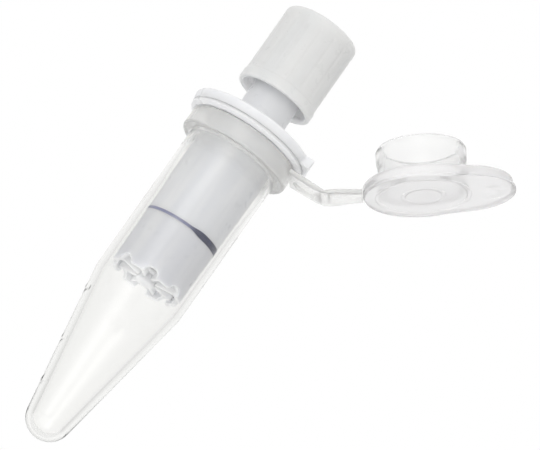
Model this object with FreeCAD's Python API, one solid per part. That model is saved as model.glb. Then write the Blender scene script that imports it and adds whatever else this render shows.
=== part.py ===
import FreeCAD, Part
import math
import os

# A 1.5 mL snap-cap tube with a spin column hung in its mouth and a Luer-lock cap on the column.
# Millimetres. The tube's axis is Z, its origin is the centre of the rim's underside, and the lid
# hinge lies toward +X.

# Tube
BODY_RADIUS = 5.4
SHOULDER_Z = -18.2
TIP_RADIUS = 2.62
TIP_Z = -35.1
BORE_RADIUS = 4.75
BORE_FOOT_RADIUS = 4.6
BORE_TIP_RADIUS = 1.8
MOUTH_RADIUS = 4.95
MOUTH_FOOT_Z = -2.0
MOUTH_TAPER = 6.0
RIM_RADIUS = 6.5
RIM_HEIGHT = 2.3
RIM_ROUND = 0.35
TICK_HEIGHTS = (-21.0, -27.0, -32.0)
TICK_ANGLE = 186.0
TICK_WIDTH = 2.2
TICK_HEIGHT = 0.35
TICK_PROUD = 0.12
TICK_ROOT = 0.3

# Lid hinge and strap
HINGE_X = 10.8
HINGE_Z = 1.5
BEAD_RADIUS = 0.28
BEAD_GAP = 0.05
TONGUE_OVERLAP = 0.01
WEB_HALF = 0.18
WEB_TAPER = 0.7
STRAP_ROOT_Z = 1.5
STRAP_DROOP_Z = 1.45
STRAP_ROOT_WIDTH = 4.8
STRAP_WEB_WIDTH = 4.4
STRAP_LID_WIDTH = 3.2
STRAP_HALF = 0.3
POCKET_DEPTH = 0.22
POCKET_RADIUS = 1.3
POCKET_START_X = 6.9
POCKET_END_X = 9.65
LID_ANGLE = 36.5

# Lid, drawn flat with its hinge at the origin and its sealing plug upward
LID_CENTRE = 10.7
LID_LIFT = 0.2
LID_RADIUS = 6.5
LID_HALF = 0.7
TAB_RADIUS = 5.2
TAB_CENTRE = 15.15
LID_ROUND = 0.3
LIP_LENGTH = 0.3
LIP_HALF = 0.3
PLUG_TOP = 4.75
PLUG_RADIUS = 4.93
PLUG_NECK_RADIUS = 4.7
PLUG_BEAD_LENGTH = 1.3
PLUG_BEAD_SLOPE = 0.6
PLUG_CHAMFER = 0.35
PLUG_CHAMFER_WIDTH = 0.18
PLUG_WALL = 0.6
FACE_GROOVE_RADIUS = 5.2
FACE_GROOVE_WIDTH = 0.5
FACE_GROOVE_DEPTH = 0.25
GATE_RADIUS = 2.4
GATE_DEPTH = 0.3
GRIP_COUNT = 4
GRIP_PITCH = 0.75
GRIP_LENGTH = 3.6
GRIP_RADIUS = 0.16
GRIP_CENTRE = 18.2

# Spin column, turned in the tube about Z
COLUMN_TURN = 13.0
SEAT_GAP = 0.02
FLANGE_TOP_Z = 2.9
FLANGE_RADIUS = 7.05
FLANGE_FOOT_RADIUS = 6.6
FLANGE_BEVEL = 0.25
COLUMN_TOP_RADIUS = 4.5
COLUMN_FOOT_RADIUS = 4.3
COLUMN_FOOT_Z = -17.0
CHAMBER_TOP_RADIUS = 3.85
CHAMBER_FOOT_RADIUS = 3.65
FLOOR_TOP_Z = -15.6
FLOOR_LOW_Z = -16.1
STUB_REACH = 8.1
STUB_WIDTH = 1.8
STUB_THICKNESS = 0.35
PETAL_COUNT = 8
PETAL_RADIUS = 0.8
SKIRT_WALL = 0.55
WINDOW_RADIUS = 0.75
WINDOW_CIRCLE = 2.45
RIB_THICKNESS = 0.35
RIB_LIFT = 0.3
BOSS_RADIUS = 1.1
BOSS_ROUND = 0.4
BOSS_DROP = 0.2
BAND_TOP_Z = -9.85
BAND_HEIGHT = 0.75
BAND_OUTER_RADIUS = 4.36
BAND_INNER_RADIUS = 4.05

# Filter inside the column
FRIT_RADIUS = 3.6
LOWER_FRIT_HEIGHT = 1.0
BED_HEIGHT = 3.7
UPPER_FRIT_HEIGHT = 0.9

# Column cap with its Luer neck
CAP_LOW_Z = FLANGE_TOP_Z + SEAT_GAP
CAP_TOP_Z = 4.05
CAP_FOOT_RADIUS = 7.1
CAP_TOP_RADIUS = 7.3
CAP_ROUND = 0.2
CAP_TAB_REACH = 7.55
CAP_TAB_HALF_WIDTH = 3.5
CAP_TAB_ROUND = 0.3
CAP_PLUG_LOW_Z = 0.2
CAP_PLUG_RADIUS = 3.78
CAP_PLUG_CHAMFER = 0.6
CAP_PLUG_CHAMFER_WIDTH = 0.2
CAP_PLUG_BORE = 3.1
NECK_RADIUS = 2.82
NECK_TOP_Z = 12.0
NECK_FILLET = 0.35
LUER_MOUTH_RADIUS = 2.135
LUER_TAPER = 0.03
LUER_FOOT_Z = 4.4
CHANNEL_RADIUS = 1.2
LUG_Z = 11.4
LUG_REACH = 3.7
LUG_THICKNESS = 0.8
LUG_WIDTH = 1.6
LUG_ROOT = 0.3

# Luer-lock closure
THREAD_LEAD = 5.0
THREAD_STARTS = 2
THREAD_LOW_Z = 8.5
THREAD_HEIGHT = 4.2
THREAD_CREST_RADIUS = 3.4
THREAD_BASE_HALF = 0.5
THREAD_CREST_HALF = 0.3
THREAD_EMBED = 0.08
COLLAR_LOW_Z = 8.0
COLLAR_TOP_Z = 17.85
COLLAR_RADIUS = 4.42
COLLAR_BEAD_RADIUS = 4.52
COLLAR_BEAD_TOP_Z = 9.1
COLLAR_BEAD_BLEND = 0.25
COLLAR_TOP_ROUND = 0.65
COLLAR_FOOT_ROUND = 0.25
COLLAR_BORE = 3.95
COLLAR_CEILING_Z = 16.5
FLUTE_COUNT = 16
FLUTE_RADIUS = 0.5
FLUTE_DEPTH = 0.1
FLUTE_LOW_Z = 9.6
FLUTE_TOP_Z = 16.6
LIP_RADIUS = 3.0
LIP_LOW_Z = 13.15
LIP_TOP_Z = 13.4
PRESS_RING_OUTER = 3.2
PRESS_RING_INNER = 2.6
PRESS_RING_Z = 14.46
TAPER_TIP_Z = 5.6
TAPER_TIP_CHAMFER = 0.3
TAPER_TIP_CHAMFER_WIDTH = 0.15
TAPER_GAP = 0.045
STEM_RADIUS = 2.6
STEM_LOW_Z = 12.15
HEAD_RADIUS = 3.6
HEAD_LOW_Z = 13.5
HEAD_TOP_Z = 14.4
CORE_RADIUS = 0.9
CORE_LOW_Z = 6.8

V = FreeCAD.Vector
ORIGIN = V(0, 0, 0)
UP = V(0, 0, 1)
SIDE = V(0, 1, 0)
OVER = 1.0
JOIN = 0.1


def turned(corners):
    """Solid of revolution about Z from (radius, height) corners."""
    points = [V(radius, 0, height) for radius, height in corners]
    outline = Part.makePolygon(points + points[:1])
    return Part.Face(outline).revolve(ORIGIN, UP, 360)


def rod(radius, low, high, x=0, y=0):
    """Upright cylinder between two heights."""
    return Part.makeCylinder(radius, high - low, V(x, y, low))


def block(x_range, y_range, z_range):
    """Box from its ranges along X, Y and Z."""
    low = V(x_range[0], y_range[0], z_range[0])
    return Part.makeBox(
        x_range[1] - x_range[0], y_range[1] - y_range[0], z_range[1] - z_range[0], low)


def prism(points, vector):
    """Closed polygon pushed along a vector."""
    outline = Part.makePolygon(list(points) + [points[0]])
    return Part.Face(outline).extrude(vector)


def about(shape, angle, centre=ORIGIN, axis=UP):
    """Copy of a shape turned about an axis."""
    copy = shape.copy()
    copy.rotate(centre, axis, angle)
    return copy


def around(shape, count):
    """Copies of a shape spread evenly about Z, as one compound."""
    return Part.makeCompound([about(shape, 360 * i / count) for i in range(count)])


def rounded_circles(shape, radius, heights):
    """Round the circular edges about Z at the given heights, outermost circles only."""
    chosen = []
    for height in heights:
        rings = [e for e in shape.Edges if isinstance(e.Curve, Part.Circle)
                 and abs(e.Curve.Center.z - height) < 1e-4 and abs(e.Curve.Axis.z) > 0.999]
        widest = max(ring.Curve.Radius for ring in rings)
        chosen += [ring for ring in rings if ring.Curve.Radius > widest - 1e-4]
    return shape.makeFillet(radius, chosen)


def cone_half_angle(top_radius, tip_radius):
    """Half angle of a cone that leaves the shoulder and touches the round tip."""
    reach = SHOULDER_Z - TIP_Z
    return math.atan2(top_radius, reach) - math.asin(tip_radius / math.hypot(top_radius, reach))


def round_tipped(open_z, open_radius, top_radius, tip_radius):
    """Solid of revolution: body, cone, and a round tip that the cone runs into."""
    half_angle = cone_half_angle(top_radius, tip_radius)

    def on_tip(angle):
        return V(tip_radius * math.cos(angle), 0, TIP_Z - tip_radius * math.sin(angle))

    pole = on_tip(math.pi / 2)
    touch = on_tip(half_angle)
    middle = on_tip((half_angle + math.pi / 2) / 2)
    corners = [pole, V(0, 0, open_z), V(open_radius, 0, open_z), V(top_radius, 0, SHOULDER_Z), touch]
    edges = [Part.makeLine(a, b) for a, b in zip(corners, corners[1:])]
    edges.append(Part.Arc(touch, middle, pole).toShape())
    return Part.Face(Part.Wire(edges)).revolve(ORIGIN, UP, 360)


def graduation_tick(height):
    """Small raised bar on the outside of the cone."""
    half_angle = cone_half_angle(BODY_RADIUS, TIP_RADIUS)
    radius = BODY_RADIUS - (SHOULDER_Z - height) * math.tan(half_angle)
    low = height - TICK_HEIGHT / 2
    high = height + TICK_HEIGHT / 2
    ring = turned([(radius - TICK_ROOT, low), (radius + TICK_PROUD, low),
                   (radius + TICK_PROUD, high), (radius - TICK_ROOT, high)])
    slice_box = block((0, RIM_RADIUS), (-TICK_WIDTH / 2, TICK_WIDTH / 2), (low - OVER, high + OVER))
    return ring.common(about(slice_box, TICK_ANGLE))


def collection_tube():
    outside = round_tipped(RIM_HEIGHT, BODY_RADIUS, BODY_RADIUS, TIP_RADIUS)
    rim = rounded_circles(rod(RIM_RADIUS, 0, RIM_HEIGHT), RIM_ROUND, (0, RIM_HEIGHT))
    inside = round_tipped(RIM_HEIGHT + OVER, BORE_RADIUS, BORE_FOOT_RADIUS, BORE_TIP_RADIUS)
    mouth = turned([(0, RIM_HEIGHT + OVER), (MOUTH_RADIUS, RIM_HEIGHT + OVER),
                    (MOUTH_RADIUS, MOUTH_FOOT_Z), (BORE_FOOT_RADIUS, MOUTH_FOOT_Z - MOUTH_TAPER),
                    (0, MOUTH_FOOT_Z - MOUTH_TAPER)])
    solid = outside.fuse([rim] + [graduation_tick(height) for height in TICK_HEIGHTS])
    return solid.cut([inside, mouth]).removeSplitter()


def strap_plan(x_start, x_end, width_start, width_end):
    """Upright prism with the strap's tapered outline."""
    corners = [V(x_start, -width_start / 2, -OVER), V(x_end, -width_end / 2, -OVER),
               V(x_end, width_end / 2, -OVER), V(x_start, width_start / 2, -OVER)]
    return prism(corners, V(0, 0, RIM_HEIGHT + 2 * OVER))


def web_relief(centre):
    """Round room left for the bending web."""
    return Part.makeCylinder(BEAD_RADIUS + BEAD_GAP, 2 * RIM_RADIUS,
                             centre - SIDE * RIM_RADIUS, SIDE)


def hinge_strap_tube_side():
    hinge = V(HINGE_X, 0, HINGE_Z)
    thin_x = HINGE_X - WEB_TAPER - BEAD_RADIUS
    slope = (STRAP_DROOP_Z - STRAP_ROOT_Z) / (thin_x - RIM_RADIUS)
    inner_z = STRAP_ROOT_Z + slope * (BODY_RADIUS - RIM_RADIUS)
    side = [V(BODY_RADIUS, 0, inner_z - STRAP_HALF), V(thin_x, 0, STRAP_DROOP_Z - STRAP_HALF),
            V(HINGE_X, 0, HINGE_Z - WEB_HALF), V(HINGE_X, 0, HINGE_Z + WEB_HALF),
            V(thin_x, 0, STRAP_DROOP_Z + STRAP_HALF), V(BODY_RADIUS, 0, inner_z + STRAP_HALF)]
    band = prism([point - SIDE * RIM_RADIUS for point in side], SIDE * 2 * RIM_RADIUS)
    band = band.common(strap_plan(BODY_RADIUS, HINGE_X, STRAP_ROOT_WIDTH, STRAP_WEB_WIDTH))
    pocket_x = POCKET_END_X - POCKET_RADIUS
    pocket_low = STRAP_ROOT_Z + slope * (pocket_x - RIM_RADIUS) - STRAP_HALF
    pocket_z = (pocket_low - OVER, pocket_low + POCKET_DEPTH)
    pocket = rod(POCKET_RADIUS, pocket_z[0], pocket_z[1], pocket_x).fuse(
        block((POCKET_START_X, pocket_x), (-POCKET_RADIUS, POCKET_RADIUS), pocket_z))
    band = band.cut([rod(RIM_RADIUS, -OVER, RIM_HEIGHT + OVER), pocket, web_relief(hinge)])
    return band.removeSplitter()


def living_hinge():
    start = V(HINGE_X, -STRAP_WEB_WIDTH / 2, HINGE_Z)
    bead = Part.makeCylinder(BEAD_RADIUS, STRAP_WEB_WIDTH, start, SIDE)
    tongue = block((HINGE_X - BEAD_RADIUS - BEAD_GAP - TONGUE_OVERLAP, HINGE_X),
                   (-STRAP_WEB_WIDTH / 2, STRAP_WEB_WIDTH / 2),
                   (HINGE_Z - WEB_HALF / 2, HINGE_Z + WEB_HALF / 2))
    return bead.fuse(tongue.cut(hinge_strap_tube_side())).removeSplitter()


def raised(shape):
    """Carry a lid shape from its flat drawing to the half-open place on the hinge."""
    placed = about(shape, -LID_ANGLE, ORIGIN, SIDE)
    placed.translate(V(HINGE_X, 0, HINGE_Z))
    return placed


def teardrop(centre_radius, tab_radius, low, high):
    """Lid outline: a round plate drawn out into a narrower round tab."""
    lean = math.asin((centre_radius - tab_radius) / (TAB_CENTRE - LID_CENTRE))
    near = [V(LID_CENTRE + centre_radius * math.sin(lean), s * centre_radius * math.cos(lean), low)
            for s in (-1, 1)]
    far = [V(TAB_CENTRE + tab_radius * math.sin(lean), s * tab_radius * math.cos(lean), low)
           for s in (1, -1)]
    web = prism(near + far, V(0, 0, high - low))
    ends = [rod(centre_radius, low, high, LID_CENTRE), rod(tab_radius, low, high, TAB_CENTRE)]
    return web.fuse(ends).removeSplitter()


def hinge_strap_lid_side():
    thick_x = WEB_TAPER + BEAD_RADIUS
    side = [V(0, 0, -WEB_HALF), V(thick_x, 0, -STRAP_HALF), V(LID_CENTRE, 0, -STRAP_HALF),
            V(LID_CENTRE, 0, STRAP_HALF), V(thick_x, 0, STRAP_HALF), V(0, 0, WEB_HALF)]
    band = prism([point - SIDE * RIM_RADIUS for point in side], SIDE * 2 * RIM_RADIUS)
    band = band.common(strap_plan(0, LID_CENTRE - LID_RADIUS, STRAP_WEB_WIDTH, STRAP_LID_WIDTH)
                       .fuse(strap_plan(LID_CENTRE - LID_RADIUS, LID_CENTRE,
                                        STRAP_LID_WIDTH, STRAP_LID_WIDTH)))
    disc = rod(LID_RADIUS, -OVER, OVER, LID_CENTRE)
    return raised(band.cut([disc, web_relief(ORIGIN)]).removeSplitter())


def tube_lid():
    plate = teardrop(LID_RADIUS, TAB_RADIUS, -LID_HALF, LID_HALF)
    edges = [e for e in plate.Edges
             if abs(e.BoundBox.ZMax - e.BoundBox.ZMin) < 1e-6 and abs(e.BoundBox.ZMin - LID_HALF) < 1e-6]
    plate = plate.makeFillet(LID_ROUND, edges)
    lip = teardrop(LID_RADIUS - LIP_LENGTH, TAB_RADIUS + LIP_LENGTH, -LID_HALF, -LID_HALF + LIP_HALF)
    bead_z = PLUG_TOP - PLUG_BEAD_LENGTH
    plug = turned([(0, 0), (PLUG_NECK_RADIUS, 0), (PLUG_NECK_RADIUS, bead_z - PLUG_BEAD_SLOPE),
                   (PLUG_RADIUS, bead_z), (PLUG_RADIUS, PLUG_TOP - PLUG_CHAMFER),
                   (PLUG_RADIUS - PLUG_CHAMFER_WIDTH, PLUG_TOP), (0, PLUG_TOP)])
    hollow = turned([(0, 0), (PLUG_NECK_RADIUS - PLUG_WALL, 0),
                     (PLUG_NECK_RADIUS - PLUG_WALL, PLUG_TOP + OVER), (0, PLUG_TOP + OVER)])
    groove = rod(FACE_GROOVE_RADIUS, -OVER, FACE_GROOVE_DEPTH - LID_HALF).cut(
        rod(FACE_GROOVE_RADIUS - FACE_GROOVE_WIDTH, -OVER, FACE_GROOVE_DEPTH - LID_HALF))
    gate = rod(GATE_RADIUS, -OVER, GATE_DEPTH - LID_HALF).cut(
        rod(GATE_RADIUS - FACE_GROOVE_WIDTH, -OVER, GATE_DEPTH - LID_HALF))
    for shape in (plug, hollow, groove, gate):
        shape.translate(V(LID_CENTRE, 0, 0))
    grip_x = GRIP_CENTRE - GRIP_PITCH * (GRIP_COUNT - 1) / 2
    grips = [Part.makeCylinder(GRIP_RADIUS, GRIP_LENGTH,
                               V(grip_x + GRIP_PITCH * i, -GRIP_LENGTH / 2, -LID_HALF), SIDE)
             for i in range(GRIP_COUNT)]
    solid = plate.fuse([lip, plug] + grips).cut([hollow, groove, gate])
    solid = solid.removeSplitter()
    solid.translate(UP * LID_LIFT)
    return raised(solid)


def column_body():
    seat_z = RIM_HEIGHT + SEAT_GAP
    shell = turned([(0, COLUMN_FOOT_Z), (COLUMN_FOOT_RADIUS, COLUMN_FOOT_Z),
                    (COLUMN_TOP_RADIUS, seat_z), (FLANGE_FOOT_RADIUS, seat_z),
                    (FLANGE_RADIUS, seat_z + FLANGE_BEVEL), (FLANGE_RADIUS, FLANGE_TOP_Z),
                    (0, FLANGE_TOP_Z)])
    stub = block((COLUMN_TOP_RADIUS, STUB_REACH), (-STUB_WIDTH / 2, STUB_WIDTH / 2),
                 (FLANGE_TOP_Z - STUB_THICKNESS, FLANGE_TOP_Z))
    chamber = turned([(0, FLOOR_TOP_Z), (CHAMBER_FOOT_RADIUS, FLOOR_TOP_Z),
                      (CHAMBER_TOP_RADIUS, FLANGE_TOP_Z), (CHAMBER_TOP_RADIUS, FLANGE_TOP_Z + OVER),
                      (0, FLANGE_TOP_Z + OVER)])
    skirt_bore = rod(COLUMN_FOOT_RADIUS - SKIRT_WALL, COLUMN_FOOT_Z - OVER, FLOOR_LOW_Z)
    petal = Part.makeCylinder(PETAL_RADIUS, COLUMN_TOP_RADIUS, V(WINDOW_CIRCLE, 0, COLUMN_FOOT_Z),
                              V(1, 0, 0))
    window = rod(WINDOW_RADIUS, FLOOR_LOW_Z - OVER, FLOOR_TOP_Z + OVER, WINDOW_CIRCLE)
    groove = rod(COLUMN_TOP_RADIUS + OVER, BAND_TOP_Z - BAND_HEIGHT, BAND_TOP_Z).cut(
        rod(BAND_INNER_RADIUS, BAND_TOP_Z - BAND_HEIGHT, BAND_TOP_Z))
    half_step = 180 / PETAL_COUNT
    rib = block((0, COLUMN_FOOT_RADIUS - SKIRT_WALL / 2), (-RIB_THICKNESS / 2, RIB_THICKNESS / 2),
                (COLUMN_FOOT_Z + RIB_LIFT, FLOOR_LOW_Z + JOIN))
    boss_low_z = COLUMN_FOOT_Z - BOSS_DROP
    boss = rounded_circles(rod(BOSS_RADIUS, boss_low_z, FLOOR_LOW_Z + JOIN), BOSS_ROUND, (boss_low_z,))
    solid = shell.fuse(stub).cut([chamber, skirt_bore, groove])
    solid = solid.cut([around(petal, PETAL_COUNT), around(window, PETAL_COUNT)])
    ribs = [about(rib, half_step + 360 * i / PETAL_COUNT) for i in range(PETAL_COUNT)]
    return about(solid.fuse(ribs + [boss]).removeSplitter(), COLUMN_TURN)


def identification_ring():
    low = BAND_TOP_Z - BAND_HEIGHT
    return turned([(BAND_INNER_RADIUS, low), (BAND_OUTER_RADIUS, low),
                   (BAND_OUTER_RADIUS, BAND_TOP_Z), (BAND_INNER_RADIUS, BAND_TOP_Z)])


def filter_disc(low, height):
    """Porous disc or packed bed inside the column."""
    return rod(FRIT_RADIUS, low, low + height)


def lug():
    """One bayonet lug, slanted along the thread."""
    slant = math.degrees(math.atan2(THREAD_LEAD, 2 * math.pi * LUG_REACH))
    bar = block((LUER_MOUTH_RADIUS + LUG_ROOT, LUG_REACH), (-LUG_WIDTH / 2, LUG_WIDTH / 2),
                (LUG_Z - LUG_THICKNESS / 2, LUG_Z + LUG_THICKNESS / 2))
    return about(bar, slant, V(0, 0, LUG_Z), V(1, 0, 0))


def luer_radius(height):
    """Radius of the female taper at a height."""
    return LUER_MOUTH_RADIUS - LUER_TAPER * (NECK_TOP_Z - height)


def column_cap():
    disc = turned([(0, CAP_LOW_Z), (CAP_FOOT_RADIUS, CAP_LOW_Z), (CAP_TOP_RADIUS, CAP_TOP_Z),
                   (0, CAP_TOP_Z)])
    tab = block((0, CAP_TAB_REACH), (-CAP_TAB_HALF_WIDTH, CAP_TAB_HALF_WIDTH), (CAP_LOW_Z, CAP_TOP_Z))
    corners = [e for e in tab.Edges if abs(e.BoundBox.XMin - CAP_TAB_REACH) < 1e-6
               and e.BoundBox.ZLength > 1]
    tab = tab.makeFillet(CAP_TAB_ROUND, corners)
    plate = disc.fuse(tab).removeSplitter()
    top_edges = [e for e in plate.Edges
                 if e.BoundBox.ZLength < 1e-6 and abs(e.BoundBox.ZMin - CAP_TOP_Z) < 1e-6]
    plate = plate.makeFillet(CAP_ROUND, top_edges)
    neck = rod(NECK_RADIUS, CAP_TOP_Z - JOIN, NECK_TOP_Z)
    foot = turned([(0, CAP_TOP_Z), (NECK_RADIUS + NECK_FILLET, CAP_TOP_Z),
                   (NECK_RADIUS, CAP_TOP_Z + NECK_FILLET), (0, CAP_TOP_Z + NECK_FILLET)])
    plug = turned([(0, CAP_PLUG_LOW_Z), (CAP_PLUG_RADIUS - CAP_PLUG_CHAMFER_WIDTH, CAP_PLUG_LOW_Z),
                   (CAP_PLUG_RADIUS, CAP_PLUG_LOW_Z + CAP_PLUG_CHAMFER),
                   (CAP_PLUG_RADIUS, CAP_LOW_Z + JOIN), (0, CAP_LOW_Z + JOIN)])
    plug_bore = rod(CAP_PLUG_BORE, CAP_PLUG_LOW_Z - OVER, CAP_LOW_Z)
    luer_bore = turned([(0, LUER_FOOT_Z), (luer_radius(LUER_FOOT_Z), LUER_FOOT_Z),
                        (luer_radius(NECK_TOP_Z + OVER), NECK_TOP_Z + OVER), (0, NECK_TOP_Z + OVER)])
    channel = rod(CHANNEL_RADIUS, CAP_LOW_Z - OVER, LUER_FOOT_Z + OVER)
    solid = plate.fuse([neck, foot, plug, lug(), about(lug(), 180)])
    return about(solid.cut([plug_bore, luer_bore, channel]).removeSplitter(), COLUMN_TURN)


def luer_plug():
    tip_radius = luer_radius(TAPER_TIP_Z) - TAPER_GAP
    root_radius = luer_radius(STEM_LOW_Z) - TAPER_GAP
    solid = turned([(0, TAPER_TIP_Z), (tip_radius - TAPER_TIP_CHAMFER_WIDTH, TAPER_TIP_Z),
                    (tip_radius, TAPER_TIP_Z + TAPER_TIP_CHAMFER),
                    (root_radius, STEM_LOW_Z), (STEM_RADIUS, STEM_LOW_Z), (STEM_RADIUS, HEAD_LOW_Z),
                    (HEAD_RADIUS, HEAD_LOW_Z), (HEAD_RADIUS, HEAD_TOP_Z), (0, HEAD_TOP_Z)])
    return solid.cut(rod(CORE_RADIUS, CORE_LOW_Z, HEAD_TOP_Z + OVER))


def thread_ridge():
    """One start of the collar's inside thread."""
    helix = Part.makeHelix(THREAD_LEAD, THREAD_HEIGHT, COLLAR_BORE)
    wall = COLLAR_BORE + THREAD_EMBED
    profile = Part.makePolygon([
        V(wall, 0, -THREAD_BASE_HALF), V(THREAD_CREST_RADIUS, 0, -THREAD_CREST_HALF),
        V(THREAD_CREST_RADIUS, 0, THREAD_CREST_HALF), V(wall, 0, THREAD_BASE_HALF),
        V(wall, 0, -THREAD_BASE_HALF)])
    ridge = Part.Wire(helix).makePipeShell([profile], True, True)
    ridge.translate(V(0, 0, THREAD_LOW_Z))
    centre_z = LUG_Z - THREAD_LEAD / (2 * THREAD_STARTS)
    return about(ridge, -360 * (centre_z - THREAD_LOW_Z) / THREAD_LEAD)


def luer_collar():
    skin = turned([(0, COLLAR_LOW_Z), (COLLAR_BEAD_RADIUS, COLLAR_LOW_Z),
                   (COLLAR_BEAD_RADIUS, COLLAR_BEAD_TOP_Z),
                   (COLLAR_RADIUS, COLLAR_BEAD_TOP_Z + COLLAR_BEAD_BLEND),
                   (COLLAR_RADIUS, COLLAR_TOP_Z), (0, COLLAR_TOP_Z)])
    skin = rounded_circles(skin, COLLAR_TOP_ROUND, (COLLAR_TOP_Z,))
    skin = rounded_circles(skin, COLLAR_FOOT_ROUND, (COLLAR_LOW_Z,))
    flute = rod(FLUTE_RADIUS, FLUTE_LOW_Z, FLUTE_TOP_Z, COLLAR_RADIUS + FLUTE_RADIUS - FLUTE_DEPTH)
    bore = rod(COLLAR_BORE, COLLAR_LOW_Z - OVER, COLLAR_CEILING_Z)
    lip = rod(COLLAR_BORE + THREAD_EMBED, LIP_LOW_Z, LIP_TOP_Z).cut(
        rod(LIP_RADIUS, LIP_LOW_Z, LIP_TOP_Z))
    press_ring = rod(PRESS_RING_OUTER, PRESS_RING_Z, COLLAR_CEILING_Z + JOIN).cut(
        rod(PRESS_RING_INNER, PRESS_RING_Z, COLLAR_CEILING_Z + JOIN))
    solid = skin.cut([bore, around(flute, FLUTE_COUNT)])
    ridges = [about(thread_ridge(), 360 * i / THREAD_STARTS) for i in range(THREAD_STARTS)]
    solid = solid.fuse([lip, press_ring] + ridges)
    return about(solid.removeSplitter(), COLUMN_TURN)


BED_LOW_Z = FLOOR_TOP_Z + LOWER_FRIT_HEIGHT
UPPER_FRIT_Z = BED_LOW_Z + BED_HEIGHT

PARTS = {
    "collection_tube": collection_tube(),
    "hinge_strap_tube_side": hinge_strap_tube_side(),
    "living_hinge": living_hinge(),
    "hinge_strap_lid_side": hinge_strap_lid_side(),
    "tube_lid": tube_lid(),
    "column_body": column_body(),
    "identification_ring": identification_ring(),
    "lower_frit": filter_disc(FLOOR_TOP_Z, LOWER_FRIT_HEIGHT),
    "sorbent_bed": filter_disc(BED_LOW_Z, BED_HEIGHT),
    "upper_frit": filter_disc(UPPER_FRIT_Z, UPPER_FRIT_HEIGHT),
    "column_cap": column_cap(),
    "luer_plug": luer_plug(),
    "luer_collar": luer_collar(),
}

os.makedirs("parts", exist_ok=True)
for name, shape in PARTS.items():
    shape.exportStep("parts/" + name + ".step")
    solids = len(shape.Solids)
    print(f"{name}: {solids} solid(s), valid {shape.isValid()}, {shape.Volume:.1f} mm3")
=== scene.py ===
import math

import bpy
from mathutils import Matrix, Vector


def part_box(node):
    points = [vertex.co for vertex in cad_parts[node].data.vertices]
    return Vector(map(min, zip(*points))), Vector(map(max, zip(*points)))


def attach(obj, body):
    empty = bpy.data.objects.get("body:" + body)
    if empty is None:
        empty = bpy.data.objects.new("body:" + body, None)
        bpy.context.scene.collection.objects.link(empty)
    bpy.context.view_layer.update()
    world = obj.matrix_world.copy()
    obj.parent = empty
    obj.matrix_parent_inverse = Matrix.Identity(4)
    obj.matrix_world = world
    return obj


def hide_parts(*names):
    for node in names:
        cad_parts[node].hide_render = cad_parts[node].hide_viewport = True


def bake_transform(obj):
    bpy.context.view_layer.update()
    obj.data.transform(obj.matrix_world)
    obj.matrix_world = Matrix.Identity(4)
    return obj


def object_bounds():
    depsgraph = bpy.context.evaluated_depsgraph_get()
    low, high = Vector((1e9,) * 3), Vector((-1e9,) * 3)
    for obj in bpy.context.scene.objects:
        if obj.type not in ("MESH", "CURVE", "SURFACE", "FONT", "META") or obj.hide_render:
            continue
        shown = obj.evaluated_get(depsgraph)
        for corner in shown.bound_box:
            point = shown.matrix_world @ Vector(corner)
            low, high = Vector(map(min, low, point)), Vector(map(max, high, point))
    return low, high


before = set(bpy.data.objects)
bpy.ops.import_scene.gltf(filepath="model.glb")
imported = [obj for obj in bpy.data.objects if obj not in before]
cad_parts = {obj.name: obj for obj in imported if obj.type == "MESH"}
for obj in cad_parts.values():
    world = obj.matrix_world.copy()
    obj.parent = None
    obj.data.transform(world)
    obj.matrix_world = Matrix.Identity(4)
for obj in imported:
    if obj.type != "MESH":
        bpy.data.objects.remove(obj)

cad_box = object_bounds()

# A snap-lid tube with a spin column and a Luer-lock cap. Lengths here are millimetres until a
# mesh is made. The tube's axis is Z and the lid's hinge lies toward +X.
MM = 0.001

# Drawing: corners round a turned piece, points in an arc and in a rounded corner, how close to a
# corner its support point stands, the half angle in degrees from which a corner counts as
# straight, and how near a point counts as on the axis or on a given height or radius
TURNS = 288
ARC_STEPS = 24
FILLET_STEPS = 7
SUPPORT = 0.04
STRAIGHT = 89
ON_AXIS = 1e-6
NEAR = 0.02

# Camera and room: angles in degrees, target in millimetres, distances in metres, strengths of the
# room's light, and the ends and peak of its strip in shares of a turn
CAMERA_AZIMUTH = 13.2
CAMERA_ELEVATION = -16.0
CAMERA_ROLL = 35.0
CAMERA_DISTANCE = 0.85
CAMERA_TARGET = (7.01, 2.65, -3.41)
LENS = 527.0
FLOOR_DROP = 0.3
FLOOR_SIZE = 3.0
ROOM_LOW = 0.68
ROOM_HIGH = 1.0
STRIP_START = 0.82
STRIP_PEAK = 0.94
STRIP_END = 1.0
STRIP_GLOW = 0.8

# Tube
BODY_RADIUS = 5.4
SHOULDER_Z = -18.2
TIP_RADIUS = 2.62
TIP_Z = -35.1
BORE_FOOT_RADIUS = 4.6
BORE_TIP_RADIUS = 1.8
MOUTH_RADIUS = 4.95
MOUTH_FOOT_Z = -2.0
MOUTH_END_Z = -6.6
BORE_TOP_RADIUS = 4.69
RIM_RADIUS = 6.5
RIM_HEIGHT = 2.3
TICK_HEIGHTS = (-21.0, -27.0, -32.0)
TICK_ANGLE = 186.0
TICK_WIDTH = 2.2
TICK_HEIGHT = 0.35
TICK_PROUD = 0.04
TICK_SIDE_SOFT = 0.08
TICK_EDGE_SOFT = 0.06
WALL_MARGIN = 0.2
HAZE_LOW_Z = -2.4
HAZE_TOP_Z = 0.1

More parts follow.
